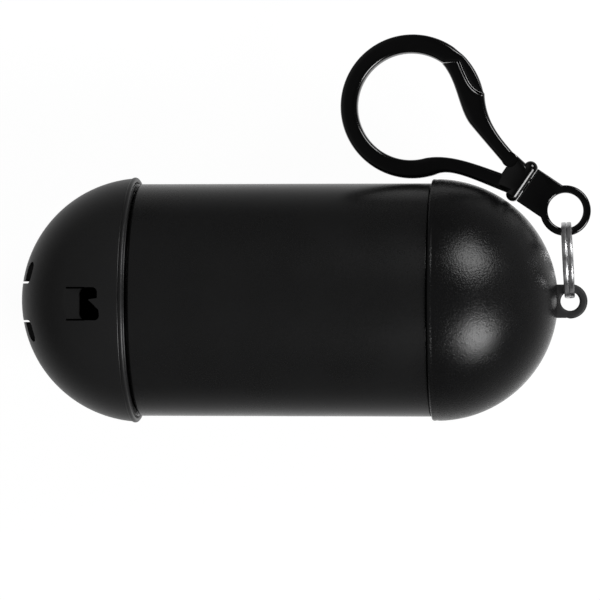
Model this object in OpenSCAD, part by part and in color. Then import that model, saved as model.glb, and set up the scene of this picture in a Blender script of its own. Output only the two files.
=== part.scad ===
// Capsule-shaped waste bag dispenser on a split ring and a swivelling snap clip.
// The capsule's axis lies along X, with the origin on it at the tube's middle.
// The pull-out hole is on top (+Z), and the ring and clip lie in the XY plane.

/* [Capsule] */
// Outer diameter of the tube
tube_d = 38.1; // [37.7:0.1:38.5]
// Length of the tube between its two shoulders
tube_len = 47.8; // [44:0.2:54]
// Wall of the tube
tube_wall = 2.05; // [1.9:0.05:2.2]
// Outer radius of the dispensing cap's dome
cap_r = 20.05; // [19.95:0.05:20.3]
// Wall of both domes
dome_wall = 1.5; // [1.3:0.1:1.7]
// Outer radius of the loop cap's dome
loop_cap_r = 19.74; // [19.5:0.02:19.9]

/* [Screw neck] */
// Outer radius of the neck that the dispensing cap goes over
neck_r = 17.6; // [17.4:0.05:17.7]
// Length of the neck from the tube's shoulder
neck_len = 5.5; // [4.5:0.1:6]
// Wall of the neck
neck_wall = 1.2; // [1:0.1:1.4]
// Radial room for the thread between neck and cap
thread_room = 0.45; // [0.35:0.05:0.5]
// Open seam between the cap's rim and the tube's shoulder
seam_gap = 0.4; // [0.3:0.05:0.6]

/* [Pull-out hole] */
// Width of the scoop and of the hole in it
scoop_w = 5.4; // [4.6:0.2:6]
// Height of the scoop's flat floor above the capsule's axis
scoop_floor = 16.7; // [16.5:0.1:17]
// Middle of the scoop, sideways from the capsule's axis
scoop_y = -0.6; // [-1:0.1:0.4]
// Distance from the rim of the cap to the hole's near edge
hole_from_rim = 5.7; // [5.5:0.1:6]
// Length of the tooth that tears the bags
tooth_len = 1; // [0.6:0.1:1.2]
// Width of the tooth at its root
tooth_w = 2.1; // [1.6:0.1:2.4]

/* [Tie bar] */
// Width of the bar left between the two slots at the pole
bar_w = 6.8; // [5.6:0.2:7.6]
// Width of each slot
slot_w = 3.5; // [2.8:0.1:3.8]
// Length of each slot
slot_len = 10; // [8:0.5:11]
// Middle of the bar, sideways from the capsule's axis
bar_y = -0.5; // [-0.8:0.1:0.4]

/* [Tab and split ring] */
// Distance from the loop cap's pole to the hole in its tab
tab_reach = 1.96; // [1.76:0.02:2.46]
// Sideways place of the tab's hole
tab_y = -0.2; // [-0.4:0.1:0.2]
// Outer radius of the tab
tab_r = 2.83; // [2.6:0.05:3]
// Radius of the hole in the tab
tab_hole_r = 1.55; // [1.5:0.05:1.6]
// Thickness of the tab
tab_t = 2.5; // [2:0.1:3]
// Outer diameter of the split ring
ring_d = 12.45; // [12.35:0.05:12.6]
// Height of the ring's wire along the radius
wire_h = 0.7; // [0.55:0.05:0.75]
// Width of one coil of the ring's wire
wire_w = 0.82; // [0.7:0.02:0.84]

/* [Clip] */
// Place of the eye's centre along the capsule, from the tab's hole
eye_x = -0.75; // [-0.8:0.05:-0.6]
// Place of the eye's centre sideways, from the tab's hole
eye_y = 14.75; // [14.7:0.05:14.85]
// How far the clip is turned away from the line on which it would touch the capsule
clip_angle = 1.64; // [1.32:0.02:2.52]
// Outer radius of the eye
eye_r = 4.13; // [3.9:0.05:4.3]
// Radius of the hole in the eye
eye_hole_r = 2.88; // [2.8:0.02:2.96]
// Thickness of the eye and its plate
eye_t = 2.2; // [1.8:0.1:2.6]
// Half width of the eye's plate
plate_half = 3.15; // [2.9:0.05:3.3]
// Distance from the eye's centre to the collar's flat face
collar_at = 7.55; // [7.3:0.05:7.8]
// Half length of the collar
collar_half = 3.7; // [3.4:0.05:3.8]
// Thickness of the collar
collar_t = 4.7; // [4.6:0.1:5.2]
// Thickness of the hook's arms and of the gate
hook_t = 3.4; // [3:0.1:4]
// Distance from the eye's centre to the loop's centre
loop_at = 30.3; // [30.2:0.05:30.4]
// Inner radius of the loop
loop_r = 8.72; // [8.6:0.02:8.8]
// Width of the loop's band
band_w = 3.05; // [2.9:0.05:3.15]
// Running room between the gate's tip and the hook's nose
gate_gap = 0.12; // [0.1:0.01:0.15]
// Radius of the swivel's stem
stem_r = 1.2; // [1:0.05:1.3]

/* [Bag roll] */
// Outer diameter of the wound bags
roll_d = 30; // [28:0.5:30.4]
// Length of the roll
roll_len = 58; // [54:0.5:60]
// Outer diameter of the cardboard core
core_d = 13; // [11:0.5:16]
// Wall of the cardboard core
core_wall = 1; // [0.8:0.1:1.2]

/* [Hidden] */
$fn = 96;

tiny = 0.01;
tube_r = tube_d / 2;
tube_bore_r = tube_r - tube_wall;
left_x = -tube_len / 2;
right_x = tube_len / 2;
edge_r = 0.5;

// Dispensing cap: the dome's centre lies just inside the rim
dome_inset = 0.9;
rim_x = left_x - seam_gap;
cap_centre_x = rim_x + dome_inset;
cut_reach = 1.1 * cap_r;
cap_bore_r = neck_r + thread_room;
neck_bore_r = neck_r - neck_wall;
neck_end_x = left_x - neck_len;
neck_chamfer = 0.3;
shoulder_t = 1.5;
shoulder_slope = 1;
seat_gap = 0.3;
seat_x = neck_end_x - seat_gap;
bead_r = 0.45;
bead_at_r = cap_r - bead_r + 0.1;
groove_r = 0.16;
groove_from_rim = 1.17;

// Loop cap and its spigot in the tube's bore
loop_centre_x = right_x + dome_inset;
fit_gap = 0.05;
spigot_r = tube_bore_r - fit_gap;
spigot_wall = 1.2;
spigot_len = 4.5;
lip_step = 0.2;
lip_r = 0.35;
tab_under = 0.1;
tab_x = loop_centre_x + loop_cap_r + tab_reach;

// Split ring between the tab's hole and the eye's hole
ring_line = [eye_x, eye_y];
ring_reach = norm(ring_line);
ring_angle = atan2(ring_line[1], ring_line[0]);
coil_gap = 0.03;
coil_pitch = wire_w + coil_gap;
wire_pair_half = (coil_pitch + wire_w) / 2;
wire_clear = 0.13;
ring_start = sqrt(pow(tab_hole_r - wire_clear, 2) - pow(wire_pair_half, 2)) - wire_h;

// Clip, in its own frame: u runs from the eye to the loop, v towards the capsule.
// The collar would touch the dome at one angle and the loop the tube at another, and the first rules.
eye_at = [tab_x + eye_x, tab_y + eye_y];
dome_from_eye = [loop_centre_x - eye_at[0], -eye_at[1]];
outer_r = loop_r + band_w;
dome_touch = 360 + atan2(dome_from_eye[1], dome_from_eye[0])
  - asin((loop_cap_r + collar_half) / norm(dome_from_eye));
tube_touch = 180 - asin((tube_r + outer_r - eye_at[1]) / loop_at);
clip_turn = min(dome_touch, tube_touch) - clip_angle;
outer_at = [loop_at - 0.1, -0.15];
inner_at = [loop_at + 0.09, 0];
collar_depth = 2.3;
collar_flat = 0.15;
pin_gap = 0.08;
head_over = 0.55;
head_r = stem_r + head_over;
head_t = 1;
collar_wall = 1.3;
head_at = collar_at + collar_wall;
knuckle_r = 1.24;
web_len = 4.4;
web_end = collar_at + web_len;
web_start = collar_at + 1;
web_near = [2.7, -2.6];
web_far = [3.2, -3.1];
web_under = 0.15;
slit_w = 1;

// Roll, lying on the spigot's lowest line and pushed up against the loop cap's dome
roll_r = roll_d / 2;
core_r = core_d / 2;
roll_drop = spigot_r - spigot_wall - roll_r - seat_gap;
roll_end_x = loop_centre_x + sqrt(pow(loop_cap_r - dome_wall - seat_gap, 2) - pow(roll_r + roll_drop, 2));
roll_x = roll_end_x - roll_len / 2;
core_extra = 1;

function arc(c, r, a0, a1, n) =
  [for (i = [0:n]) let (a = a0 + (a1 - a0) * i / n) [c[0] + r * cos(a), c[1] + r * sin(a)]];

function bezier(p, t) =
  p[0] * pow(1 - t, 3) + 3 * p[1] * t * pow(1 - t, 2) + 3 * p[2] * t * t * (1 - t) + p[3] * pow(t, 3);

function polar(c, r, a) = [c[0] + r * cos(a), c[1] + r * sin(a)];

function swell(x) = sign(x) * pow(abs(x), 0.4);

// Closed skin over a list of rings that hold the same number of points
module skin(rings) {
  m = len(rings[0]);
  n = len(rings);
  points = [for (ring = rings) each ring];
  sides = [for (i = [0:n - 2]) for (j = [0:m - 1]) let (k = (j + 1) % m)
    each [[i * m + j, i * m + k, (i + 1) * m + k], [i * m + j, (i + 1) * m + k, (i + 1) * m + j]]];
  start = [for (j = [m - 1:-1:0]) j];
  end = [for (j = [0:m - 1]) (n - 1) * m + j];
  polyhedron(points, concat([start], sides, [end]));
}

// Softly squared band lofted between two edge lines, the left one first as seen along the band from
// above: each station is [edge, edge, thickness]
module band(stations) {
  sides = 20;
  skin([for (s = stations) let (mid = (s[0] + s[1]) / 2, half = (s[1] - s[0]) / 2)
    [for (j = [0:sides - 1]) let (a = 360 * (j + 0.5) / sides)
      [mid[0] + half[0] * swell(cos(a)), mid[1] + half[1] * swell(cos(a)), s[2] / 2 * swell(sin(a))]]]);
}

// Turns a profile of [radius, x] round the capsule's axis
module around_x() rotate([0, 90, 0]) rotate_extrude() children();

module clip_frame() translate([eye_at[0], eye_at[1], 0]) rotate([0, 0, clip_turn]) children();

// Rod or bore along the clip's own axis
module along_clip(from, to, r) translate([from, 0, 0]) rotate([0, 90, 0]) cylinder(h = to - from, r = r, $fn = 48);

module tube() {
  color([0.05, 0.05, 0.055])
  around_x() polygon(concat(
    [[neck_bore_r, neck_end_x], [neck_r - neck_chamfer, neck_end_x], [neck_r, neck_end_x + neck_chamfer],
     [neck_r, left_x]],
    arc([tube_r - edge_r, left_x + edge_r], edge_r, -90, 0, 8),
    [[tube_r, right_x], [tube_bore_r, right_x], [tube_bore_r, left_x + shoulder_t + shoulder_slope],
     [neck_bore_r, left_x + shoulder_t]]));
}

// Outline of the scoop and hole, seen from above, with the tearing tooth left standing
module scoop_outline() {
  hole_end = rim_x - hole_from_rim;
  far_x = cap_centre_x - cut_reach;
  corner = 0.8;
  side = scoop_w / 2;
  translate([0, scoop_y]) polygon(concat(
    [[far_x, -side]],
    arc([hole_end - corner, corner - side], corner, -90, 0, 6),
    [[hole_end, -tooth_w / 2], [hole_end - tooth_len, 0], [hole_end, tooth_w / 2]],
    arc([hole_end - corner, side - corner], corner, 0, 90, 6),
    [[far_x, side]]));
}

// D-shaped slot beside the tie bar: a circle's segment with its straight side along the bar
module tie_slot() {
  slot_r = (slot_len * slot_len / 4 + slot_w * slot_w) / (2 * slot_w);
  half_angle = asin(slot_len / 2 / slot_r);
  polygon(arc([0, bar_w / 2 + slot_w - slot_r], slot_r, 90 - half_angle, 90 + half_angle, 14));
}

module dispensing_cap() {
  color([0.1, 0.1, 0.105])
  difference() {
    around_x() difference() {
      union() {
        intersection() {
          translate([0, cap_centre_x]) circle(cap_r, $fn = 180);
          translate([0, cap_centre_x - cap_r]) square([cap_r, rim_x - bead_r / 2 - cap_centre_x + cap_r]);
        }
        translate([cap_bore_r - tiny, rim_x - 2 * bead_r]) square([bead_at_r - cap_bore_r, 2 * bead_r]);
        translate([bead_at_r, rim_x - bead_r]) circle(bead_r, $fn = 32);
      }
      translate([cap_r + groove_r / 3, rim_x - groove_from_rim]) circle(groove_r, $fn = 24);
      translate([0, seat_x]) square([cap_bore_r, cap_r]);
      intersection() {
        translate([0, cap_centre_x]) circle(cap_r - dome_wall, $fn = 180);
        translate([0, cap_centre_x - cap_r]) square([cap_r, neck_end_x - cap_centre_x + cap_r]);
      }
    }
    translate([0, 0, scoop_floor]) linear_extrude(cap_r) scoop_outline();
    for (side = [0, 180])
      translate([cap_centre_x, bar_y, 0]) rotate([0, -90, 0]) rotate([0, 0, side]) linear_extrude(cut_reach) tie_slot();
  }
}

module loop_cap() {
  color([0.08, 0.08, 0.085])
  difference() {
    union() {
      around_x() difference() {
        union() {
          intersection() {
            translate([0, loop_centre_x]) circle(loop_cap_r, $fn = 180);
            translate([0, loop_centre_x]) square(loop_cap_r);
          }
          polygon(concat(
            [[0, loop_centre_x], [0, right_x - spigot_len], [spigot_r, right_x - spigot_len], [spigot_r, right_x],
             [tube_r - edge_r, right_x], [tube_r - edge_r, right_x + lip_step]],
            arc([loop_cap_r - lip_r, right_x + lip_step + lip_r], lip_r, -90, 0, 6),
            [[loop_cap_r, loop_centre_x]]));
        }
        translate([0, right_x - spigot_len - 1])
          square([spigot_r - spigot_wall, spigot_len + 1 + loop_centre_x - right_x + tiny]);
        intersection() {
          translate([0, loop_centre_x]) circle(loop_cap_r - dome_wall, $fn = 180);
          translate([0, loop_centre_x]) square(loop_cap_r);
        }
      }
      translate([0, 0, -tab_t / 2]) linear_extrude(tab_t) {
        translate([tab_x, tab_y]) circle(tab_r);
        translate([loop_centre_x + loop_cap_r - dome_wall / 2, tab_y - tab_r + tab_under])
          square([tab_x - loop_centre_x - loop_cap_r + dome_wall / 2, 2 * (tab_r - tab_under)]);
      }
    }
    translate([tab_x, tab_y, -tab_t]) cylinder(h = 2 * tab_t, r = tab_hole_r);
  }
}

// Two coils of flat wire: the wire steps from one layer to the other where both ends stop
module split_ring() {
  step_a = 20;
  turn_from = step_a / 2 + 2;
  turn_to = 720 - turn_from;
  stations = 96;
  sides = 12;
  mid_r = ring_d / 2 - wire_h / 2;
  color([0.75, 0.75, 0.77])
  translate([tab_x, tab_y, 0]) rotate([0, 0, ring_angle]) translate([ring_start + ring_d / 2, 0, 0])
  skin([for (i = [0:stations])
    let (a = turn_from + (turn_to - turn_from) * i / stations,
         s = min(1, max(0, (a - 360 + step_a / 2) / step_a)),
         layer = coil_pitch * (s * s * (3 - 2 * s) - 0.5))
    [for (j = [0:sides - 1]) let (b = 360 * (j + 0.5) / sides, r = mid_r + wire_h / 2 * swell(cos(b)))
      [-r * cos(a), layer + wire_w / 2 * swell(sin(b)), r * sin(a)]]]);
}

module clip_eye() {
  soft = 0.35;
  plate_step = 0.1;
  plate_end = collar_at - 2 * plate_step;
  color([0.03, 0.03, 0.032])
  clip_frame() {
    rotate_extrude() translate([eye_hole_r, 0]) {
      translate([0, -eye_t / 2 + soft]) square([eye_r - eye_hole_r, eye_t - 2 * soft]);
      translate([soft, -eye_t / 2]) square([eye_r - eye_hole_r - 2 * soft, eye_t]);
      for (x = [soft, eye_r - eye_hole_r - soft], y = [-1, 1] * (eye_t / 2 - soft))
        translate([x, y]) circle(soft, $fn = 24);
    }
    difference() {
      translate([0, -plate_half, -eye_t / 2 + plate_step]) cube([plate_end, 2 * plate_half, eye_t - 2 * plate_step]);
      cylinder(h = 2 * eye_t, r = eye_r - soft, center = true);
    }
    along_clip(plate_end - 1, head_at + tiny, stem_r);
    along_clip(head_at, head_at + head_t, head_r);
  }
}

// A point of the clip's outline: along is its share of the way from the hook's root to the loop's
// centre, and aside its distance from the clip's axis as a share of the loop's outer radius
function clip_point(along, aside) = [web_end + along * (loop_at - web_end), aside * outer_r];

// Edge lines of the hook's lower arm and nose, and of the gate
loop_start = 143;
inner_start = 140;
nose_from = -91;
nose_to = -134.8;
nose_lead = 10;
gate_pivot = clip_point(0.014, -0.154);
arm_outer = [clip_point(-0.144, 0.245), clip_point(0.172, 0.353), clip_point(0.409, 0.395),
             polar(outer_at, outer_r, loop_start)];
arm_inner = [clip_point(-0.134, 0.008), clip_point(0.188, 0.144), clip_point(0.463, 0.208),
             polar(inner_at, loop_r, inner_start)];
scarf = [clip_point(0.526, -0.714), clip_point(0.657, -0.641), clip_point(0.733, -0.752),
         clip_point(0.869, -0.888)];
gate_outer = [gate_pivot - [0, knuckle_r], clip_point(0.24, -0.346), clip_point(0.398, -0.446), scarf[0]];
gate_straight = [gate_pivot + [0, knuckle_r], clip_point(0.166, -0.117), clip_point(0.33, -0.183),
                 clip_point(0.485, -0.256)];
gate_bend = [gate_straight[3], clip_point(0.646, -0.345), clip_point(0.785, -0.645), clip_point(0.987, -0.733)];

module clip_hook() {
  arm_n = 14;
  loop_n = 44;
  nose_n = 12;
  color([0.03, 0.03, 0.032])
  clip_frame() difference() {
    union() {
      band(concat(
        [for (i = [0:arm_n]) [bezier(arm_outer, i / arm_n), bezier(arm_inner, i / arm_n), hook_t]],
        [for (i = [1:loop_n]) let (t = i / loop_n)
          [polar(outer_at, outer_r, loop_start + (nose_from - loop_start) * t),
           polar(inner_at, loop_r, inner_start + (nose_from - inner_start) * t), hook_t]],
        [for (i = [0:nose_n]) let (t = i / nose_n, a = nose_from - nose_lead + (nose_to - nose_from + nose_lead) * t)
          [polar(outer_at, outer_r, a), bezier(scarf, 1 - t) - [0, gate_gap], hook_t]]));
      band([for (i = [0:4]) let (t = i / 4, u = web_start + (web_end - web_start) * t, v = web_near + (web_far - web_near) * t)
        [[u, v[0]], [u, v[1]], collar_t + (hook_t - 2 * web_under - collar_t) * t * t]]);
      intersection() {
        hull() for (v = [-1, 1] * (collar_half - collar_depth / 2), z = [-1, 1] * (collar_t - collar_depth) / 2)
          translate([collar_at + collar_depth / 2 - collar_flat, v, z]) sphere(collar_depth / 2, $fn = 32);
        translate([collar_at, -2 * collar_half, -collar_t]) cube([2 * collar_depth, 4 * collar_half, 2 * collar_t]);
      }
    }
    translate([gate_pivot[0], gate_pivot[1], -hook_t]) cylinder(h = 2 * hook_t, r = knuckle_r + pin_gap, $fn = 48);
    translate([gate_pivot[0], -2 * plate_half, -hook_t]) cube([slit_w, 2 * plate_half + gate_pivot[1] + knuckle_r, 2 * hook_t]);
    along_clip(collar_at - 1, head_at, stem_r + pin_gap);
    along_clip(head_at - pin_gap, head_at + head_t + pin_gap, head_r + pin_gap);
  }
}

module clip_gate() {
  n = 26;
  bend_at = 0.38;
  notch_at = 0.5;
  color([0.03, 0.03, 0.032])
  clip_frame() {
    band([for (i = [0:n]) let (t = i / n)
      [t < bend_at ? bezier(gate_straight, t / bend_at) : bezier(gate_bend, (t - bend_at) / (1 - bend_at)),
       t < notch_at ? bezier(gate_outer, t / notch_at) : bezier(scarf, (t - notch_at) / (1 - notch_at)),
       hook_t]]);
    translate([gate_pivot[0], gate_pivot[1], -hook_t / 2]) cylinder(h = hook_t, r = knuckle_r, $fn = 48);
  }
}

module roll_place() translate([roll_x, 0, -roll_drop]) children();

module bag_roll() {
  color([0.28, 0.4, 0.3])
  roll_place() rotate([0, 90, 0]) difference() {
    cylinder(h = roll_len, r = roll_r, center = true);
    cylinder(h = roll_len + 1, r = core_r + fit_gap, center = true);
  }
}

module roll_core() {
  color([0.6, 0.48, 0.34])
  roll_place() rotate([0, 90, 0]) difference() {
    cylinder(h = roll_len + core_extra, r = core_r, center = true);
    cylinder(h = roll_len + 2 * core_extra, r = core_r - core_wall, center = true);
  }
}

tube();
dispensing_cap();
loop_cap();
split_ring();
clip_eye();
clip_hook();
clip_gate();
bag_roll();
roll_core();
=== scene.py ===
"""Waste bag dispenser: a capsule for a roll of bags, on a split ring and a swivelling snap clip."""
import math

import bmesh
import bpy
import numpy as np
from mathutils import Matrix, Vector


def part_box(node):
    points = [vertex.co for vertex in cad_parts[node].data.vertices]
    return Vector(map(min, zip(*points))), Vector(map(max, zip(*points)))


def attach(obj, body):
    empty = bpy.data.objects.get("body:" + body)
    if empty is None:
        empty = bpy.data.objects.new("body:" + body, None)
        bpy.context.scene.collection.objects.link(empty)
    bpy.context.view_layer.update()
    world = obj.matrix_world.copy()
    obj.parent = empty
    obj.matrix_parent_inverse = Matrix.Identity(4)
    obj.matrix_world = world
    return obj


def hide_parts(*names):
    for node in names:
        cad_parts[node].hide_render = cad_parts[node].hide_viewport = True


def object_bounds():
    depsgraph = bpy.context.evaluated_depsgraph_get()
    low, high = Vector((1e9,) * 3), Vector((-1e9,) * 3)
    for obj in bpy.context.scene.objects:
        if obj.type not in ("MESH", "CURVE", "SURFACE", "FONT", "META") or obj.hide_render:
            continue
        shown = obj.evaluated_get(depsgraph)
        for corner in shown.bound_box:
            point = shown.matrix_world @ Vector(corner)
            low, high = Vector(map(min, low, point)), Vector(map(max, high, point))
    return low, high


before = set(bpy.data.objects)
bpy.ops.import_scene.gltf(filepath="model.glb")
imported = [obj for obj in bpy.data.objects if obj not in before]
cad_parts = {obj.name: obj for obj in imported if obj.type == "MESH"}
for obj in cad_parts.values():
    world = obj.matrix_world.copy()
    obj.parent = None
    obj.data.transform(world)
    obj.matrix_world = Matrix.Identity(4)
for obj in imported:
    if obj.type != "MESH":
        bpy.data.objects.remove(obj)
cad_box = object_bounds()
MM = 0.001


# ---- Tube ----
# The body of the capsule: a plain tube of satin black plastic, turned here about its own axis.
# Its left end steps down to the neck that the dispensing cap screws over.
def rounded(corners, steps=6):
    """Outline through corners given as (a, b, radius): each corner with a radius is replaced by
    the arc that touches both of its sides, so its points are centre + radius * (cos, sin)."""
    pts = np.array([c[:2] for c in corners], float)
    radii = [c[2] for c in corners]
    out = []
    for i, radius in enumerate(radii):
        here, before, after = pts[i], pts[i - 1], pts[(i + 1) % len(pts)]
        if radius == 0:
            out.append(here[None])
            continue
        to_a = (before - here) / np.linalg.norm(before - here)
        to_b = (after - here) / np.linalg.norm(after - here)
        half = math.acos(np.clip(to_a @ to_b, -1, 1)) / 2
        middle = (to_a + to_b) / np.linalg.norm(to_a + to_b)
        centre = here + middle * radius / math.sin(half)
        start = here + to_a * radius / math.tan(half) - centre
        end = here + to_b * radius / math.tan(half) - centre
        t = np.linspace(0, 1, steps)[:, None]
        chord = start * (1 - t) + end * t
        out.append(centre + chord / np.linalg.norm(chord, axis=1)[:, None] * radius)
    return np.concatenate(out)


def grid_mesh(name, grid, wrap_rows=False, wrap_columns=True, caps=False):
    """A surface over a grid of points: neighbours in each row and column share a face, rows and
    columns close on themselves where asked, and caps close the first and last rows."""
    rows, columns = grid.shape[:2]
    i = np.arange(rows if wrap_rows else rows - 1)[:, None]
    j = np.arange(columns if wrap_columns else columns - 1)[None, :]
    a = i * columns + j
    b = i * columns + (j + 1) % columns
    c = (i + 1) % rows * columns + (j + 1) % columns
    d = (i + 1) % rows * columns + j
    faces = np.stack([a, b, c, d], axis=-1).reshape(-1, 4).tolist()
    if caps:
        faces.append(list(range(columns))[::-1])
        faces.append(list(range((rows - 1) * columns, rows * columns)))
    mesh = bpy.data.meshes.new(name)
    mesh.from_pydata(grid.reshape(-1, 3).tolist(), [], faces)
    shape = bmesh.new()
    shape.from_mesh(mesh)
    bmesh.ops.remove_doubles(shape, verts=shape.verts, dist=1e-7)
    bmesh.ops.recalc_face_normals(shape, faces=shape.faces)
    shape.to_mesh(mesh)
    shape.free()
    mesh.shade_smooth()
    piece = bpy.data.objects.new(name, mesh)
    bpy.context.scene.collection.objects.link(piece)
    return piece


def around(steps):
    """Angles once round the circle, as a row, without the last one that repeats the first."""
    return np.linspace(0, 2 * np.pi, steps, endpoint=False)[None, :]


def lathe(name, outline, steps=256):
    """Surface of revolution: each outline point (x, r) goes round the X axis to
    (x, r cos a, r sin a)."""
    a = around(steps)
    x, r = outline[:, :1], outline[:, 1:2]
    grid = np.stack([x + 0 * a, r * np.cos(a), r * np.sin(a)], axis=-1) * MM
    return grid_mesh(name, grid, wrap_rows=True)


def crisp(piece, angle=40):
    """Edges sharper than the angle stay sharp under smooth shading."""
    shape = bmesh.new()
    shape.from_mesh(piece.data)
    for edge in shape.edges:
        edge.smooth = edge.calc_face_angle(0) < math.radians(angle)
    shape.to_mesh(piece.data)
    shape.free()


def dress(piece, body, material, slot, *nodes):
    """The piece rides on its body in its own finish and stands for the named CAD nodes."""
    piece.data.materials.clear()
    piece.data.materials.append(material)
    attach(piece, body)
    if nodes:
        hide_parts(*nodes)


def set_sockets(node, values):
    """Sets the node's inputs from keywords, whose underscores stand for spaces."""
    for key, value in values.items():
        node.inputs[key.replace("_", " ")].default_value = value


def new_material(name, colour, roughness, **sockets):
    """A Principled material with its plain values set on its own sockets."""
    material = bpy.data.materials.new(name)
    material.use_nodes = True
    shader = material.node_tree.nodes["Principled BSDF"]
    shader.inputs["Base Color"].default_value = (*colour, 1)
    shader.inputs["Roughness"].default_value = roughness
    set_sockets(shader, sockets)
    return material, material.node_tree, shader


def placed(tree, kind, place, **sockets):
    """A new node with its plain values set, whose Vector comes from the place."""
    node = tree.nodes.new(kind)
    set_sockets(node, sockets)
    tree.links.new(place, node.inputs["Vector"])
    return node


def maths(tree, operation, *values, clamp=False):
    """Result of a Math node: each value is a socket to link or a number to set."""
    node = tree.nodes.new("ShaderNodeMath")
    node.operation = operation
    node.use_clamp = clamp
    for socket, value in zip(node.inputs, values):
        if isinstance(value, bpy.types.NodeSocket):
            tree.links.new(value, socket)
        else:
            socket.default_value = value
    return node.outputs[0]


def remap(tree, value, from_range, to_range, smooth=False):
    """Result of a Map Range node: the value's first range is mapped to the second."""
    node = tree.nodes.new("ShaderNodeMapRange")
    node.interpolation_type = "SMOOTHSTEP" if smooth else "LINEAR"
    for label, (low, high) in (("From", from_range), ("To", to_range)):
        node.inputs[label + " Min"].default_value = low
        node.inputs[label + " Max"].default_value = high
    tree.links.new(value, node.inputs["Value"])
    return node.outputs["Result"]


def tone(tree, shader, factor, dark, light):
    """The shader's colour goes from the dark tone to the light one with the factor."""
    mix = tree.nodes.new("ShaderNodeMix")
    mix.data_type = "RGBA"
    mix.inputs["A"].default_value = (*dark, 1)
    mix.inputs["B"].default_value = (*light, 1)
    tree.links.new(factor, mix.inputs["Factor"])
    tree.links.new(mix.outputs["Result"], shader.inputs["Base Color"])


def relief(tree, shader, height, strength, depth):
    """The height bumps the shader's surface at the strength, over the depth in metres."""
    bump = tree.nodes.new("ShaderNodeBump")
    set_sockets(bump, {"Strength": strength, "Distance": depth})
    tree.links.new(height, bump.inputs["Height"])
    tree.links.new(bump.outputs["Normal"], shader.inputs["Normal"])


def moulded_grain_group():
    """Fine skin of a moulded plastic: a small-scale noise for the grain's height, a broad one for
    uneven gloss, and sparse specks of painted glint, lighter colour where the grain would catch
    light."""
    group = bpy.data.node_groups.new("moulded_grain", "ShaderNodeTree")
    for name, value in (("Grain Scale", 6000.0), ("Patch Scale", 90.0)):
        socket = group.interface.new_socket(name, in_out="INPUT", socket_type="NodeSocketFloat")
        socket.default_value = value
    for name in ("Height", "Patch", "Painted Glint"):
        group.interface.new_socket(name, in_out="OUTPUT", socket_type="NodeSocketFloat")
    inputs = group.nodes.new("NodeGroupInput").outputs
    outputs = group.nodes.new("NodeGroupOutput").inputs
    place = group.nodes.new("ShaderNodeTexCoord").outputs["Object"]
    grain = placed(group, "ShaderNodeTexNoise", place, Detail=3)
    patch = placed(group, "ShaderNodeTexNoise", place, Detail=4)
    cells = placed(group, "ShaderNodeTexVoronoi", place)
    # Painted glints: sparse cells whose colour is lifted towards the light tone, where the grain
    # would catch light.
    painted_glint = remap(group, cells.outputs["Distance"], (0.28, 0.05), (0, 1))
    for source, target in (
            (inputs["Grain Scale"], grain.inputs["Scale"]),
            (inputs["Grain Scale"], cells.inputs["Scale"]),
            (inputs["Patch Scale"], patch.inputs["Scale"]),
            (grain.outputs["Fac"], outputs["Height"]),
            (patch.outputs["Fac"], outputs["Patch"]),
            (painted_glint, outputs["Painted Glint"])):
        group.links.new(source, target)
    return group


moulded_grain = moulded_grain_group()
uneven_range = (0.75, 1.25)
patch_share = 0.4
grain_depth = 0.0001


def plastic(name, colour, light_colour, roughness, grain_scale, bump, painted_glint_share=0.0, **sockets):
    """Moulded plastic: colour drifts a little towards its light tone with the grain's patches and
    with sparse specks of painted glint, roughness swings with the patches and the grain, whose
    height also bumps the surface."""
    material, tree, shader = new_material(name, colour, roughness[0], **sockets)
    group = tree.nodes.new("ShaderNodeGroup")
    group.node_tree = moulded_grain
    group.inputs["Grain Scale"].default_value = grain_scale
    height, patch, painted_glint = (group.outputs[key] for key in ("Height", "Patch", "Painted Glint"))
    gloss = remap(tree, maths(tree, "ADD", patch, height), uneven_range, roughness)
    tree.links.new(gloss, shader.inputs["Roughness"])
    drift = maths(tree, "MULTIPLY", patch, patch_share)
    # Painted glints in sparse specks lift the colour towards the light tone, on top of the patches'
    # own drift.
    share = maths(tree, "MULTIPLY_ADD", painted_glint, painted_glint_share, drift)
    tone(tree, shader, share, colour, light_colour)
    relief(tree, shader, height, bump, grain_depth)
    return material


_, tube_high = (np.array(corner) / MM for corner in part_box("tube"))
tube_wall, neck_len, neck_r, neck_bore = 2.05, 3.9, 17.6, 16.4
tube_r = tube_high[1]
tube_bore = tube_r - tube_wall
right_x = tube_high[0]
left_x = -right_x
neck_end = left_x - neck_len
bore_step_from, bore_step_to = left_x + 1.5, left_x + 2.5

tube_plastic = plastic("tube_plastic", colour=(0.009, 0.009, 0.0092),
                       light_colour=(0.019, 0.019, 0.0195), roughness=(0.26, 0.32),
                       grain_scale=2600, bump=0.05)
tube = lathe("tube_body", rounded([
    (neck_end, neck_bore, 0.2), (neck_end, neck_r, 0.35), (left_x, neck_r, 0.15),
    (left_x, tube_r, 0.5), (right_x, tube_r, 0.12), (right_x, tube_bore, 0),
    (bore_step_to, tube_bore, 0), (bore_step_from, neck_bore, 0)]))
crisp(tube)
dress(tube, "capsule", tube_plastic, "tube_plastic", "tube")

# ---- Screw thread on the neck ----
# A single rounded thread stands on the neck and runs out softly at both ends. Its mate inside the
# dispensing cap is made by the same function.
thread_pitch, thread_w, thread_root = 2.2, 1.0, 0.15
thread_runout = math.radians(40)
thread_from = neck_end + 0.6


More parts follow.
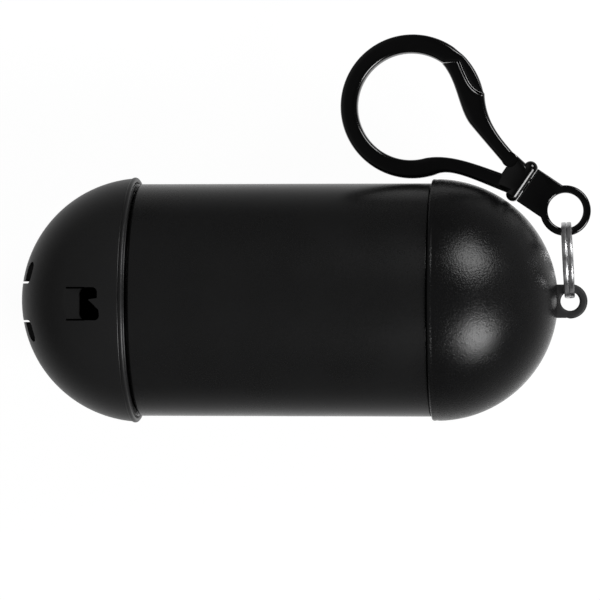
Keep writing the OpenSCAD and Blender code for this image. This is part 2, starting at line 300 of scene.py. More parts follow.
def thread(name, root_r, height, turns, first_angle):
    """Ridge along a helix: at angle a its foot is at x = start + pitch * a / 360, and its section
    is a low bell height * cos^2 across its width, scaled down to nothing over the runout. A height
    below zero stands inwards from a bore."""
    end = turns * 2 * np.pi
    a = np.linspace(0, end, int(140 * turns))[:, None]
    across = np.linspace(-0.5, 0.5, 13)[None, :] * thread_w
    runout = np.clip(np.minimum(a, end - a) / thread_runout, 0, 1)
    bell = np.cos(np.pi * across / thread_w) ** 2 * (runout ** 2 * (3 - 2 * runout))
    top = root_r + height * bell
    foot = root_r - math.copysign(thread_root, height) + 0 * bell
    x = thread_from + thread_pitch * a / (2 * np.pi) + across
    section_x = np.concatenate([x, x[:, ::-1]], axis=1)
    section_r = np.concatenate([top, foot], axis=1)
    turn = a + first_angle
    grid = np.stack([section_x, section_r * np.cos(turn), section_r * np.sin(turn)], axis=-1) * MM
    return grid_mesh(name, grid, caps=True)


neck_thread = thread("neck_thread", neck_r, height=0.34, turns=1.15, first_angle=0.6)
dress(neck_thread, "capsule", tube_plastic, "tube_plastic")

# ---- Bag roll ----
# Thin bags wound on a cardboard core. The roll lies loose in the tube and is pulled out end first.
# Its flat ends show the edges of the wound film as fine rings.
roll_low, roll_high = (np.array(corner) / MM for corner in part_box("bag_roll"))
core_low, core_high = (np.array(corner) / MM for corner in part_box("roll_core"))
roll_r = (roll_high[1] - roll_low[1]) / 2
roll_z = (roll_high[2] + roll_low[2]) / 2
roll_edge = 0.5
core_r = (core_high[1] - core_low[1]) / 2
core_wall, core_edge, core_gap = 1, 0.2, 0.05


def lower(piece, drop):
    """Moves the piece's own points along Z, so that its object stays at the origin."""
    xyz = np.empty(len(piece.data.vertices) * 3)
    piece.data.vertices.foreach_get("co", xyz)
    xyz[2::3] += drop * MM
    piece.data.vertices.foreach_set("co", xyz)


def wound(name, start, end, inner_r, outer_r, outer_edge, inner_edge, steps):
    """Hollow cylinder about the roll's own axis, with its outer and inner edges rounded."""
    piece = lathe(name, rounded([(start, inner_r, inner_edge), (start, outer_r, outer_edge),
                                 (end, outer_r, outer_edge), (end, inner_r, inner_edge)]), steps)
    crisp(piece)
    lower(piece, roll_z)
    return piece


def film():
    """Wound film: rings round the roll's axis, from a sine of the distance to it, bump the ends
    and vary the tone; a wrinkle noise bumps the whole."""
    material, tree, shader = new_material("bag_film", (0.06, 0.11, 0.07), 0.42)
    place = tree.nodes.new("ShaderNodeTexCoord").outputs["Object"]
    centre = placed(tree, "ShaderNodeMapping", place, Location=(0, 0, -roll_z * MM))
    rings = placed(tree, "ShaderNodeTexWave", centre.outputs["Vector"], Scale=1600, Distortion=1.5)
    rings.wave_type = "RINGS"
    rings.rings_direction = "X"
    wrinkle = placed(tree, "ShaderNodeTexNoise", place, Scale=220, Detail=5)
    both = maths(tree, "ADD", rings.outputs["Fac"], wrinkle.outputs["Fac"])
    relief(tree, shader, both, strength=0.5, depth=0.0002)
    tone(tree, shader, rings.outputs["Fac"], dark=(0.04, 0.08, 0.05), light=(0.1, 0.17, 0.11))
    return material


def board():
    """Grey-brown board: a fibre noise drifts the colour and roughens the surface."""
    material, tree, shader = new_material("core_board", (0.45, 0.34, 0.22), 0.85)
    place = tree.nodes.new("ShaderNodeTexCoord").outputs["Object"]
    fibre = placed(tree, "ShaderNodeTexNoise", place, Scale=900, Detail=6).outputs["Fac"]
    tone(tree, shader, fibre, dark=(0.36, 0.26, 0.16), light=(0.52, 0.41, 0.28))
    relief(tree, shader, fibre, strength=0.4, depth=0.0001)
    return material


roll = wound("wound_bags", roll_low[0], roll_high[0], core_r + core_gap, roll_r,
             outer_edge=roll_edge, inner_edge=0, steps=128)
dress(roll, "roll", film(), "bag_film", "bag_roll")
core = wound("cardboard_core", core_low[0], core_high[0], core_r - core_wall, core_r,
             outer_edge=core_edge, inner_edge=core_edge, steps=96)
dress(core, "roll", board(), "core_board", "roll_core")

# ---- Dispensing cap ----
# A domed screw cap of fine matte black plastic. A bead stiffens its rim, a scoop in its top leads
# to the pull-out hole with its tearing tooth, and two bracket-shaped slots leave a bar at its pole
# to tie a bag to.
cap_low, cap_high = (np.array(corner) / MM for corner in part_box("dispensing_cap"))
bead_r, bead_proud = 0.45, 0.1
cap_r = cap_high[1] - bead_proud
pole_to_centre = 20.05
cap_x = cap_low[0] + pole_to_centre
rim_x = cap_high[0]
bead_w, seat_gap = 0.92, 0.3
crease_x, seat_x = rim_x - bead_w, neck_end - seat_gap
cap_bore, cap_inner_r = 18.05, 18.55
mouth_depth, mouth_chamfer = 0.6, 0.2
beyond_pole = cap_x - 1.1 * cap_r
scoop_y, scoop_w, scoop_past = -0.6, 5.4, 1.3
scoop_floor_r, scoop_climb = 17.65, 0.32
slit_half, slit_back, slit_past = 0.14, 2.2, 0.9
hole_start, hole_end = rim_x - 7.35, rim_x - 4
cutter_low, cutter_high = 12, 2 * cap_r
bar_y, bar_half, bar_slit_w = -0.29, 3.0, 0.34
slot_out, slot_from, slot_to = 6.5, 6.7, 9.5


def cap_outline():
    """Profile (x, r) of the cap: the outer sphere sqrt(R^2 - (x - c)^2) up to the crease where the
    round bead stands up at the rim, the straight bore, its seat, and the inner sphere to the
    axis."""
    lean = np.linspace(0, math.acos((cap_x - crease_x) / cap_r), 180)
    outer = np.stack([cap_x - cap_r * np.cos(lean), cap_r * np.sin(lean)], axis=1)
    a = np.radians(np.linspace(150, -80, 26))
    bead_x, bead_y = rim_x - bead_r, cap_r - bead_r + bead_proud
    bead = np.stack([bead_x + bead_r * np.cos(a), bead_y + bead_r * np.sin(a)], axis=1)
    seat_r = math.sqrt(cap_inner_r ** 2 - (seat_x - cap_x) ** 2)
    bore = np.array([[rim_x, bead_y - mouth_depth], [rim_x, cap_bore + mouth_chamfer],
                     [rim_x - mouth_chamfer, cap_bore], [seat_x, cap_bore], [seat_x, seat_r]])
    b = np.linspace(math.acos((cap_x - seat_x) / cap_inner_r), 0, 90)[1:]
    inner = np.stack([cap_x - cap_inner_r * np.cos(b), cap_inner_r * np.sin(b)], axis=1)
    return np.concatenate([outer, bead, bore, inner])


def prism(name, outline, low, high, place):
    """A cutter: a closed outline (a, b) swept from low to high, each point put in space by
    place."""
    grid = np.stack([place(outline[:, 0], outline[:, 1], level) for level in (low, high)]) * MM
    return grid_mesh(name, grid, caps=True)


def boolean(piece, other, operation="DIFFERENCE"):
    """Cuts the other closed shape from the piece, or joins it on, with an exact Boolean, and
    removes the other."""
    change = piece.modifiers.new("change", "BOOLEAN")
    change.operation = operation
    change.solver = "EXACT"
    change.object = other
    bpy.context.view_layer.update()
    evaluated = piece.evaluated_get(bpy.context.evaluated_depsgraph_get())
    made = bpy.data.meshes.new_from_object(evaluated)
    piece.modifiers.clear()
    piece.data = made
    bpy.data.objects.remove(other)


def from_above(a, b, level):
    """Places (a, b) along X and Y, at the level's height."""
    return np.stack([a, b, 0 * a + level], axis=-1)


def from_pole(a, b, level):
    """Places (a, b) across the pole, a along Z and b along Y from the bar's middle."""
    return np.stack([0 * a + level, bar_y + b, a], axis=-1)


def along_scoop(a, b, level):
    """As from_above, but the low level is the scoop's floor, which climbs towards the hole."""
    floor = scoop_floor_r + scoop_climb * (a - hole_start)
    return np.stack([a, b, np.where(level < cap_r, floor, level)], axis=-1)


def rectangle(a_low, a_high, b_low, b_high):
    """Corners of a rectangle, in order round it."""
    return np.array([[a_low, b_low], [a_high, b_low], [a_high, b_high], [a_low, b_high]])


def hole_outline():
    """Round-cornered hole with a pointed tooth left standing in its near end, nearer its upper
    side."""
    side, corner, far_corner = scoop_w / 2 - 0.05, 0.8, 1.15
    return rounded([
        (hole_start, scoop_y - side, far_corner), (hole_end + 0.2, scoop_y - side, corner),
        (hole_end + 0.05, scoop_y - 1.0, 0.3), (hole_end - 1.0, scoop_y + 0.05, 0.2),
        (hole_end - 1.8, scoop_y + 0.7, 0.12), (hole_end - 0.2, scoop_y + 0.9, 0.15),
        (hole_end - 0.2, scoop_y + side, corner), (hole_start, scoop_y + side, far_corner)],
        steps=8)


def slot_outline(side):
    """Bracket shape: a narrow slit along the bar's edge, with a round-ended lobe turned outwards
    at each end, so that a tongue of the dome is left between the lobes."""
    edge, tongue = bar_half, bar_half + bar_slit_w
    return rounded([
        (-slot_to, edge, 1.2), (slot_to, edge, 1.2), (slot_to, slot_out, 1.3),
        (slot_from, slot_out, 1.3), (slot_from, tongue, 0.4), (-slot_from, tongue, 0.4),
        (-slot_from, slot_out, 1.3), (-slot_to, slot_out, 1.3)]) * [1, side]


dispensing_cap = lathe("dispensing_cap_shell", cap_outline(), steps=360)
scoop = rectangle(beyond_pole, hole_start + scoop_past,
                  scoop_y - scoop_w / 2, scoop_y + scoop_w / 2)
boolean(dispensing_cap, prism("scoop", scoop, 0, cutter_high, along_scoop))
boolean(dispensing_cap, prism("hole", hole_outline(), cutter_low, cutter_high, from_above))
for side in (1, -1):
    slit_y = scoop_y + side * (scoop_w / 2 - slit_half)
    slit = rectangle(hole_start - slit_back, hole_start + slit_past,
                     slit_y - slit_half, slit_y + slit_half)
    boolean(dispensing_cap, prism("scoop_slit", slit, cutter_low, cutter_high, from_above))
    boolean(dispensing_cap, prism("tie_slot", slot_outline(side), beyond_pole,
                                  cap_x - 0.5 * cap_r, from_pole))
crisp(dispensing_cap, 30)
# Its sparse light specks are painted glints.
matte_plastic = plastic("cap_plastic", colour=(0.012, 0.012, 0.0123),
                        light_colour=(0.025, 0.025, 0.0256), roughness=(0.36, 0.42),
                        grain_scale=3400, bump=0.2, painted_glint_share=0.4)
dress(dispensing_cap, "cap", matte_plastic, "cap_plastic", "dispensing_cap")
cap_thread = thread("cap_thread", cap_bore, height=-0.3, turns=0.95, first_angle=3.74)
dress(cap_thread, "cap", matte_plastic, "cap_plastic")

# ---- Loop cap ----
# The other dome, of the same matte plastic, pushed with a spigot into the tube. A lip stands out a
# little over the tube, and a holed tab grows from its pole for the split ring.
loop_cap_r, loop_inner_r = 19.74, 18.24
loop_x = right_x + 0.9
lip_x, lip_r, lip_depth = right_x + 0.2, 0.35, 0.5
groove_depth, groove_at, groove_w = 0.05, 0.78, 0.25
shoulder_start, shoulder_end, sphere_start = lip_x + 0.4, loop_x + 0.8, 0.85
spigot_gap, spigot_wall, spigot_len, spigot_chamfer = 0.05, 1.2, 4.5, 0.2
spigot_r, spigot_end = tube_bore - spigot_gap, right_x - spigot_len
spigot_bore = spigot_r - spigot_wall
tab_out = 1.96
tab_x, tab_y = loop_x + loop_cap_r + tab_out, -0.2
tab_r, tab_hole_r, tab_t, tab_edge = 2.83, 1.55, 2.5, 0.4
tab_inset, tab_root = 0.1, 0.75


def loop_cap_outline():
    """Profile (x, r) of the cap: the spigot, the step to the lip with its rounded corner, a shallow
    bell-shaped groove behind the lip, the outer sphere sqrt(R^2 - (x - c)^2) to the pole, and the
    inner sphere back to the spigot's bore."""
    spigot = np.array([[loop_x, spigot_bore], [spigot_end, spigot_bore],
                       [spigot_end, spigot_r - spigot_chamfer],
                       [spigot_end + spigot_chamfer, spigot_r], [right_x, spigot_r],
                       [right_x, tube_r - lip_depth], [lip_x, tube_r - lip_depth]])
    lip_angle = np.linspace(np.pi, np.pi / 2, 9)
    lip = np.stack([lip_x + lip_r + lip_r * np.cos(lip_angle),
                    loop_cap_r - lip_r + lip_r * np.sin(lip_angle)], axis=1)
    near = np.linspace(shoulder_start, shoulder_end, 30)
    level = np.sqrt(loop_cap_r ** 2 - np.maximum(near - loop_x, 0) ** 2)
    bell = np.exp(-((near - lip_x - groove_at) / groove_w) ** 2)
    grooved = np.stack([near, level - groove_depth * bell], axis=1)
    a = np.linspace(math.acos(sphere_start / loop_cap_r), 0, 150)
    outer = np.stack([loop_x + loop_cap_r * np.cos(a), loop_cap_r * np.sin(a)], axis=1)
    b = np.linspace(0, np.pi / 2, 90)
    inner = np.stack([loop_x + loop_inner_r * np.cos(b), loop_inner_r * np.sin(b)], axis=1)
    return np.concatenate([spigot, lip, grooved, outer, inner])


def holed_plate(name, centre, turn, hole, reach, thickness, edge, steps=192):
    """A flat ring round a hole: at angle a its section is a rectangle with rounded corners, from
    the hole's radius out to reach(a) and thickness(a) high, turned to face along its own angle."""
    a = around(steps)[0]
    corner = np.linspace(0, np.pi / 2, 7)
    cos, sin = np.cos(corner), np.sin(corner)
    out = reach(a)[:, None]
    high = thickness(a)[:, None] / 2
    inner, outer, top = hole + edge + 0 * out, out - edge, high - edge
    r = np.concatenate([outer + edge * cos, inner - edge * cos[::-1],
                        inner - edge * cos, outer + edge * cos[::-1]], axis=1)
    z = np.concatenate([top + edge * sin, top + edge * sin[::-1],
                        -top - edge * sin, -top - edge * sin[::-1]], axis=1)
    angle = a[:, None] + turn
    grid = np.stack([centre[0] + r * np.cos(angle), centre[1] + r * np.sin(angle), z], axis=-1) * MM
    return grid_mesh(name, grid, wrap_rows=True)


def box_reach(a, side, end):
    """Distance at angle a to a box of that half width and that end: the nearer of side / |sin a|
    and end / cos a."""
    return np.minimum(side / np.maximum(np.abs(np.sin(a)), 1e-6), end / np.maximum(np.cos(a), 1e-6))


def tab_reach(a):
    """Round at its free end, and straight-sided back to the dome on the other side of the hole."""
    straight = box_reach(a + np.pi, tab_r - tab_inset, tab_x - loop_x - loop_cap_r + tab_root)
    blend = 0.2
    free = tab_r - tab_inset * np.clip(-np.cos(a) / blend, 0, 1)
    return np.where(np.cos(a) < -blend, straight, free)


loop_cap = lathe("loop_cap_shell", loop_cap_outline(), steps=360)
crisp(loop_cap, 30)
# Its sparse light specks are painted glints.
loop_matte = plastic("loop_cap_plastic", colour=(0.006, 0.006, 0.0062),
                     light_colour=(0.013, 0.013, 0.0134), roughness=(0.17, 0.33),
                     grain_scale=3600, bump=0.45, painted_glint_share=0.4, Specular_IOR_Level=0.32)
dress(loop_cap, "capsule", loop_matte, "loop_cap_plastic", "loop_cap")
tab = holed_plate("loop_cap_tab", (tab_x, tab_y), 0, tab_hole_r, tab_reach,
                  lambda a: tab_t + 0 * a, tab_edge)
# The tab's dense light specks are painted glints.
tab_plastic = plastic("tab_plastic", colour=(0.012, 0.012, 0.0123),
                      light_colour=(0.035, 0.035, 0.036), roughness=(0.5, 0.6),
                      grain_scale=3400, bump=0.24, painted_glint_share=0.9)
dress(tab, "capsule", tab_plastic, "loop_cap_plastic")

# ---- Split ring ----
# Two close turns of flattened steel wire, plated bright. It threads the tab and the clip's eye.
# The ring stands upright along the line from the tab's hole to the eye.
ring_r = 12.45 / 2
wire_h, wire_w, wire_gap = 0.7, 0.82, 0.03
coil_pitch = wire_w + wire_gap
eye_left, eye_up = 0.75, 14.75
eye_x, eye_y = tab_x - eye_left, tab_y + eye_up
lean = math.atan2(eye_y - tab_y, eye_x - tab_x)
ring_clearance = 0.13
ring_seat_r = tab_hole_r - ring_clearance
ring_start = math.sqrt(ring_seat_r ** 2 - ((coil_pitch + wire_w) / 2) ** 2) - wire_h
layer_step, end_gap = math.radians(20), math.radians(2)
end_len, end_size = 0.3, 0.75


def swell(x, power):
    """Softly squared wave: the wave's own sign times its size to a power under one."""
    return np.sign(x) * np.abs(x) ** power


def wire_coil(name, steps=520, sides=28):
    """Flat wire along two turns: at angle a the wire's middle is at radius r and height
    pitch * (s - 1/2), with s a smooth step from one layer to the other, and its section is a
    softly squared oval, drawn in a little at both ends."""
    start = layer_step / 2 + end_gap
    a = np.linspace(start, 4 * np.pi - start, steps)[:, None]
    s = np.clip((a - 2 * np.pi + layer_step / 2) / layer_step, 0, 1)
    layer = coil_pitch * (s * s * (3 - 2 * s) - 0.5)
    b = around(sides) + math.pi / sides
    ends = np.clip(np.minimum(a - a[0], a[-1] - a) * ring_r / end_len, 0, 1)
    full = np.sqrt(1 - (1 - ends) ** 2) * (1 - end_size) + end_size
    r = ring_r - wire_h / 2 + full * wire_h / 2 * swell(np.cos(b), 0.45)
    side = layer + full * wire_w / 2 * swell(np.sin(b), 0.55)
    along = ring_start + ring_r - r * np.cos(a)
    x = tab_x + along * math.cos(lean) - side * math.sin(lean)
    y = tab_y + along * math.sin(lean) + side * math.cos(lean)
    return grid_mesh(name, np.stack([x, y, r * np.sin(a)], axis=-1) * MM, caps=True)


def plated_steel():
    """Plated wire: fine drawing lines across its width and faint handling marks in its gloss."""
    material, tree, shader = new_material("ring_steel", (0.72, 0.72, 0.73), 0.2, Metallic=1.0)
    place = tree.nodes.new("ShaderNodeTexCoord").outputs["Object"]
    stretch = placed(tree, "ShaderNodeMapping", place, Scale=(5200, 700, 700))
    drawn = placed(tree, "ShaderNodeTexNoise", stretch.outputs["Vector"], Scale=1, Detail=4)
    marks = placed(tree, "ShaderNodeTexNoise", place, Scale=700)
    gloss = remap(tree, marks.outputs["Fac"], (0.35, 0.65), (0.24, 0.38))
    tree.links.new(gloss, shader.inputs["Roughness"])
    relief(tree, shader, drawn.outputs["Fac"], strength=0.12, depth=0.00003)
    return material


split_ring = wire_coil("split_ring_coil")
crisp(split_ring, 50)
dress(split_ring, "ring", plated_steel(), "ring_steel", "split_ring")

# ---- Clip eye ----
# The clip's own small eye, moulded in one with a flat plate and the swivel's stem and head. It
# turns in the hook's collar. Places on the clip are given along it (u) from the eye, and across
# it (v).
clip_turn = math.radians(145.8828)
eye_r, eye_hole_r, eye_t, eye_edge = 4.13, 2.88, 2.2, 0.35
collar_at = 7.55
plate_half, plate_end, plate_thinner = 3.15, collar_at - 0.06, 0.2
stem_r, head_r, head_at = 1.2, 1.75, collar_at + 1.3
head_end = head_at + 1.0
stem_root, stem_root_r, stem_step = plate_end - 1, stem_r - 0.3, plate_end - 0.05


def clip_place(u, v, z):
    """A point of the clip's own frame in space: turned by the clip's angle and moved to the
    eye."""
    c, s = math.cos(clip_turn), math.sin(clip_turn)
    return np.stack([eye_x + u * c - v * s, eye_y + u * s + v * c, z + 0 * u], axis=-1)


def eye_reach(a):
    """Round outside the eye, and a straight-sided plate out to its end on the hook's side."""
    plate = box_reach(a, plate_half, plate_end)
    return np.where((np.cos(a) > 0) & (plate > eye_r), plate, eye_r)


def eye_thickness(a):
    """Full round the eye, and a little thinner within about 26 degrees of the plate's middle."""
    return eye_t - plate_thinner * np.clip(np.cos(a) * 4 - 2.6, 0, 1)


def turned_on_clip(name, outline, steps=64):
    """Surface of revolution about the clip's own axis: (u, r) goes to (u, r cos a, r sin a)."""
    a = around(steps)
    u, r = outline[:, :1] + 0 * a, outline[:, 1:2]
    grid = clip_place(u, r * np.cos(a), r * np.sin(a)) * MM
    return grid_mesh(name, grid, wrap_rows=True)


gloss_plastic = plastic("clip_plastic", colour=(0.0012, 0.0012, 0.0013),
                        light_colour=(0.0025, 0.0025, 0.0026), roughness=(0.13, 0.18),
                        grain_scale=1500, bump=0.024, Coat_Weight=0.3, Coat_Roughness=0.08)
clip_eye = holed_plate("clip_eye_plate", (eye_x, eye_y), clip_turn, eye_hole_r, eye_reach,
                       eye_thickness, eye_edge, steps=360)
crisp(clip_eye, 38)
dress(clip_eye, "eye", gloss_plastic, "clip_plastic", "clip_eye")
stem = turned_on_clip("swivel_stem", rounded([
    (stem_root, 0, 0), (stem_root, stem_root_r, 0), (stem_step, stem_root_r, 0),
    (stem_step, stem_r, 0), (head_at, stem_r, 0), (head_at, head_r, 0.15),
    (head_end, head_r, 0.3), (head_end, 0, 0)]))
crisp(stem)
dress(stem, "eye", gloss_plastic, "clip_plastic")

# ---- Clip hook ----
# The moulded hook: a collar that traps the swivel's head, a lower arm, the round loop and its
# nose, which ends in a slanted cut where the gate meets it. The band has softly squared edges all
# round.
hook_t, collar_t, collar_half, collar_depth = 3.4, 4.7, 3.7, 2.3
loop_at, loop_r, band_w = 30.3, 8.72, 3.05
outer_r = loop_r + band_w
outer_at, inner_at = np.array([loop_at - 0.1, -0.15]), np.array([loop_at + 0.09, 0])
web_start, web_end = collar_at + 1, collar_at + 4.4
arm_meets_outer, arm_meets_inner, loop_end, nose_end = 143, 140, -91, -134.8
nose_start = -101
scarf_gap = 0.04
pin_gap, knuckle_r, socket_floor, slit_far = 0.06, 1.24, -1.3, -6.3


def clip_point(along, aside):
    """Shares of the way from the hook's root to the loop's centre, and of the loop's outer
    radius."""
    return np.array([web_end + along * (loop_at - web_end), aside * outer_r])


def polar(centre, radius, degrees):
    """Points of a circle: centre + radius * (cos, sin)."""
    a = np.radians(degrees)
    return centre + radius * np.stack([np.cos(a), np.sin(a)], axis=-1)


def bezier(points, t):
    """Cubic curve through the first and last of four points, drawn towards the two between
    them."""
    t = t[:, None]
    p, q, r, s = points
    return p * (1 - t) ** 3 + 3 * q * t * (1 - t) ** 2 + 3 * r * t * t * (1 - t) + s * t ** 3


def band(name, left, right, thickness, sides=72, power=0.4):
    """Band between two edge lines: its section at each station is a softly squared oval, half the
    way from edge to edge wide and half the thickness high, each a wave swelled by the power."""
    a = (np.arange(sides) + 0.5) * 2 * np.pi / sides
    across = swell(np.cos(a), power)[None, :, None]
    middle, half = (left + right)[:, None] / 2, (right - left)[:, None] / 2
    uv = middle + half * across
    z = (thickness + 0 * left[:, 0])[:, None] / 2 * swell(np.sin(a), power)[None, :]
    return grid_mesh(name, clip_place(uv[..., 0], uv[..., 1], z) * MM, caps=True)


def collar_bar():
    """Collar: at each place across the clip a stadium section, whose radius falls off as a cosine
    over the rounded ends, with its face towards the eye cut flat."""
    r = collar_depth / 2
    first_end, last_end = np.linspace(-np.pi / 2, 0, 17), np.linspace(0, np.pi / 2, 17)
    v = np.concatenate([r - collar_half + r * np.sin(first_end),
                        collar_half - r + r * np.sin(last_end)])
    radius = np.cos(np.concatenate([first_end, last_end]))[:, None] * r
    a = around(64)
    u = np.maximum(collar_at + r - 0.15 + radius * np.cos(a), collar_at)
    z = radius * np.sin(a) + (collar_t - collar_depth) / 2 * np.sign(np.sin(a) + 1e-9)
    return grid_mesh("collar_bar", clip_place(u, v[:, None] + 0 * a, z) * MM, caps=True)


def pin(name, centre, radius, low, high):
    """Round bar that stands across the clip on the centre, from its low end to its high end."""
    a = around(96)[0]
    u, v = centre[0] + radius * np.cos(a), centre[1] + radius * np.sin(a)
    grid = np.stack([clip_place(u, v, level) for level in (low, high)]) * MM
    return grid_mesh(name, grid, caps=True)


gate_pivot = clip_point(0.014, -0.154)
scarf = [clip_point(0.526, -0.714), clip_point(0.657, -0.641),
         clip_point(0.733, -0.752), clip_point(0.869, -0.888)]
arm_outer = [clip_point(-0.144, 0.245), clip_point(0.172, 0.353),
             clip_point(0.409, 0.395), polar(outer_at, outer_r, arm_meets_outer)]
arm_inner = [clip_point(-0.134, 0.008), clip_point(0.188, 0.144),
             clip_point(0.463, 0.208), polar(inner_at, loop_r, arm_meets_inner)]
arm_t, loop_t, nose_t = np.linspace(0, 1, 40), np.linspace(0, 1, 200)[1:], np.linspace(0, 1, 60)
outer_line = np.concatenate([
    bezier(arm_outer, arm_t),
    polar(outer_at, outer_r, arm_meets_outer + (loop_end - arm_meets_outer) * loop_t),
    polar(outer_at, outer_r, nose_start + (nose_end - nose_start) * nose_t)])
inner_line = np.concatenate([
    bezier(arm_inner, arm_t),
    polar(inner_at, loop_r, arm_meets_inner + (loop_end - arm_meets_inner) * loop_t),
    bezier(scarf, 1 - nose_t) - [0, scarf_gap]])
hook = band("clip_hook_band", outer_line, inner_line, hook_t)
web_t = np.linspace(0, 1, 24)
web_u = web_start + (web_end - web_start) * web_t
web_upper, web_lower, web_flare, web_thinner = 2.7, 2.6, 0.5, 0.3
web_left = np.stack([web_u, web_upper + web_flare * web_t], axis=1)
web_right = np.stack([web_u, -web_lower - web_flare * web_t], axis=1)
web_thickness = collar_t + (hook_t - web_thinner - collar_t) * web_t ** 2
boolean(hook, band("web", web_left, web_right, web_thickness), "UNION")
boolean(hook, collar_bar(), "UNION")
boolean(hook, pin("socket", gate_pivot, knuckle_r + pin_gap, socket_floor, hook_t))
gate_slit = rectangle(gate_pivot[0], gate_pivot[0] + 1, slit_far, gate_pivot[1] + knuckle_r)
boolean(hook, prism("slit", gate_slit, -hook_t, hook_t, clip_place))
bore_r, head_bore_r = stem_r + pin_gap, head_r + pin_gap
head_bore_from, head_bore_to = head_at - pin_gap, head_end + pin_gap
boolean(hook, turned_on_clip("stem_bore", np.array([
    [collar_at - 1, 0], [collar_at - 1, bore_r], [head_bore_from, bore_r],
    [head_bore_from, head_bore_r], [head_bore_to, head_bore_r], [head_bore_to, 0]])))
crisp(hook, 42)
dress(hook, "hook", gloss_plastic, "clip_plastic", "clip_hook")

# ---- Clip gate ----
# The sprung gate: a knuckle in the hook's root, a straight arm, and a bent tip whose outer side
# lies along the nose's slanted cut. A pressed gate swings into the loop.
gate_outer = [gate_pivot - [0, knuckle_r], clip_point(0.24, -0.346),
              clip_point(0.398, -0.446), scarf[0]]
gate_straight = [gate_pivot + [0, knuckle_r], clip_point(0.166, -0.117),
                 clip_point(0.33, -0.183), clip_point(0.485, -0.256)]
gate_bend = [gate_straight[3], clip_point(0.646, -0.345),
             clip_point(0.785, -0.645), clip_point(0.987, -0.733)]
bend_at, notch_at, knuckle_in = 0.38, 0.5, 0.02
before_bend, after_bend = np.linspace(0, 1, 46)[:-1], np.linspace(0, 1, 75)
gate_t = np.concatenate([before_bend * bend_at, bend_at + after_bend * (1 - bend_at)])
inner_edge = np.concatenate([bezier(gate_straight, before_bend), bezier(gate_bend, after_bend)])
outer_edge = np.where((gate_t < notch_at)[:, None],
                      bezier(gate_outer, np.clip(gate_t / notch_at, 0, 1)),
                      bezier(scarf, np.clip((gate_t - notch_at) / (1 - notch_at), 0, 1)))
gate = band("clip_gate_band", inner_edge, outer_edge, hook_t)
boolean(gate, pin("knuckle", gate_pivot, knuckle_r, knuckle_in - hook_t / 2,
                  hook_t / 2 - knuckle_in), "UNION")
boolean(gate, pin("knuckle_step", gate_pivot, knuckle_r + 2 * pin_gap, -hook_t,
                  socket_floor + pin_gap))
crisp(gate, 42)
dress(gate, "gate", gloss_plastic, "clip_plastic", "clip_gate")

# ---- Floor, light and camera ----
# A plain white table top that the capsule lies on, two soft lamps beyond the ring's end, a pale
# glow low round the sides, and a camera almost straight above.
white_share, white_strength = 0.9, 1.07
mirror_line, mirror_near, mirror_power = 0.025, 0.023, 1.7


def pale_floor():
    """Pale table top that shows as plain white: nine parts of what is seen are its own white and
    one part its shading, which keeps the shadow. Cameras and clear surfaces see the white
    everywhere. Mirrors see it beside the object and less of it further out, as
    (23 mm / distance) ^ 1.7, with the distance taken from the middle 50 mm of the X axis."""
    material, tree, shader = new_material("pale_floor", (0.85, 0.85, 0.85), 0.9)
    path = tree.nodes.new("ShaderNodeLightPath").outputs
    place = tree.nodes.new("ShaderNodeTexCoord").outputs["Object"]
    split = placed(tree, "ShaderNodeSeparateXYZ", place).outputs
    past = maths(tree, "SUBTRACT", maths(tree, "ABSOLUTE", split["X"]), mirror_line)
    beside = tree.nodes.new("ShaderNodeCombineXYZ")
    away = placed(tree, "ShaderNodeVectorMath", beside.outputs["Vector"])
    away.operation = "LENGTH"
    ratio = maths(tree, "DIVIDE", mirror_near, away.outputs["Value"])
    fall = maths(tree, "POWER", ratio, mirror_power, clamp=True)
    mirrored = maths(tree, "MULTIPLY", path["Is Glossy Ray"], fall)
    plain = maths(tree, "MAXIMUM", path["Is Camera Ray"], path["Is Transmission Ray"])
    strength = maths(tree, "MULTIPLY", maths(tree, "MAXIMUM", plain, mirrored), white_strength)
    share = maths(tree, "MULTIPLY", maths(tree, "MAXIMUM", plain, path["Is Glossy Ray"]),
                  white_share)
    white = tree.nodes.new("ShaderNodeEmission")
    mix = tree.nodes.new("ShaderNodeMixShader")
    for source, target in (
            (maths(tree, "MAXIMUM", past, 0), beside.inputs["X"]),
            (split["Y"], beside.inputs["Y"]),
            (strength, white.inputs["Strength"]),
            (share, mix.inputs["Fac"]),
            (shader.outputs["BSDF"], mix.inputs[1]),
            (white.outputs["Emission"], mix.inputs[2]),
            (mix.outputs["Shader"], tree.nodes["Material Output"].inputs["Surface"])):
        tree.links.new(source, target)
    return material


floor_z = cad_box[0][2] / MM
half_floor = 3000
floor = grid_mesh("floor", np.array([
    [[-half_floor, -half_floor, floor_z], [half_floor, -half_floor, floor_z]],
    [[-half_floor, half_floor, floor_z], [half_floor, half_floor, floor_z]]], float) * MM,
    wrap_columns=False)
floor.data.materials.append(pale_floor())


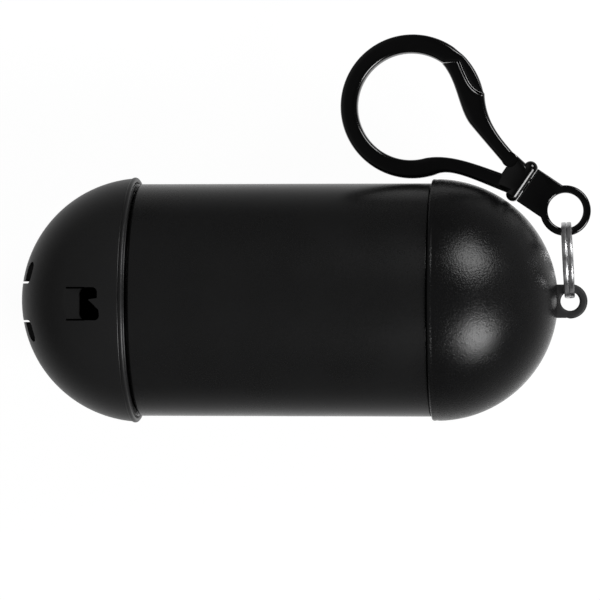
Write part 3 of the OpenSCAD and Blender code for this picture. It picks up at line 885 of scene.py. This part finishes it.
def lamp(name, place, size, watts):
    """Soft square lamp, turned to face the origin."""
    light = bpy.data.lights.new(name, "AREA")
    light.size = size
    light.energy = watts
    holder = bpy.data.objects.new(name, light)
    holder.location = place
    holder.rotation_euler = (-Vector(place)).to_track_quat("-Z", "Y").to_euler()
    bpy.context.scene.collection.objects.link(holder)


lamp("far_lamp", place=(0.391, 0.405, 0.414), size=0.3, watts=1.95)
lamp("near_lamp", place=(0.442, -0.358, 0.408), size=0.3, watts=3.3)


horizon_glow, dim_sky, side_fill = 0.12, 0.03, 0.17
fade_height, fade_lean = 0.1, -0.06


def studio():
    """Surroundings: a dim grey that lightens to 0.17 towards the dispensing cap's side. Mirrors
    see a pale glow at the horizon that fades out above it, further up on the near side:
    0.12 - 0.09 z / (0.1 - 0.06 y). Cameras and clear surfaces see the plain white background."""
    world = bpy.data.worlds.new("studio")
    world.use_nodes = True
    tree = world.node_tree
    path = tree.nodes.new("ShaderNodeLightPath").outputs
    place = tree.nodes.new("ShaderNodeTexCoord").outputs["Generated"]
    split = placed(tree, "ShaderNodeSeparateXYZ", place).outputs
    reach = maths(tree, "MULTIPLY_ADD", split["Y"], fade_lean, fade_height)
    climb = maths(tree, "DIVIDE", split["Z"], reach)
    glow = remap(tree, climb, (0, 1), (horizon_glow, dim_sky))
    mirrored = maths(tree, "MULTIPLY", glow, path["Is Glossy Ray"])
    plain = maths(tree, "MAXIMUM", path["Is Camera Ray"], path["Is Transmission Ray"])
    fill = remap(tree, split["X"], (0.15, -0.75), (dim_sky, side_fill), smooth=True)
    strength = maths(tree, "MAXIMUM", maths(tree, "MAXIMUM", plain, mirrored), fill)
    background = tree.nodes["Background"]
    background.inputs["Color"].default_value = (1, 1, 1, 1)
    tree.links.new(strength, background.inputs["Strength"])
    return world


bpy.context.scene.world = studio()
bpy.context.scene.view_settings.view_transform = "Standard"

camera_data = bpy.data.cameras.new("camera")
camera_data.sensor_width = 36
camera_data.lens = 219.6
camera = bpy.data.objects.new("camera", camera_data)
target = Vector((2.345, 0, 0)) * MM
distance = 600 * MM
tilt = math.radians(4.9)
camera.location = target + distance * Vector((math.sin(tilt), 0, math.cos(tilt)))
camera.rotation_euler = (0, tilt, 0)
bpy.context.scene.collection.objects.link(camera)
bpy.context.scene.camera = camera
